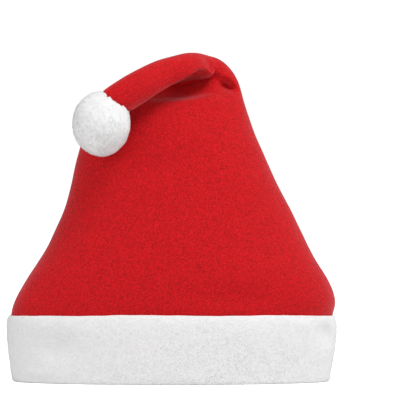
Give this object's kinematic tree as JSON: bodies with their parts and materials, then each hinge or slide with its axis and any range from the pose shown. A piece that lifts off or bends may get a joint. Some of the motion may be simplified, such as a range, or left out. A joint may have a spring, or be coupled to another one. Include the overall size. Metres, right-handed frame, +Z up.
{
  "type": "santa hat",
  "caption": "Soft felt hat whose tapering tip folds over to the front and left, with a wide plush band round the rim and a plush pompom on the tip.",
  "frame": {"origin": "middle of the hat's box, on the surface that the band stands on", "axes": "+Z up from the rim to the fold; -Y the hat's front, where the tip hangs down; +X to the right as seen from the front"},
  "size_m": [0.2706, 0.13, 0.2675],
  "materials": {
    "red_felt": "brushed fleece felt, matte",
    "plush_band": "short-pile plush, matte",
    "plush_pompom": "dense short-pile tufts, matte"
  },
  "bodies": {
    "root": {"band": "plush_band", "crown": "red_felt", "pompom": "plush_pompom"}
  },
  "joints": []
}
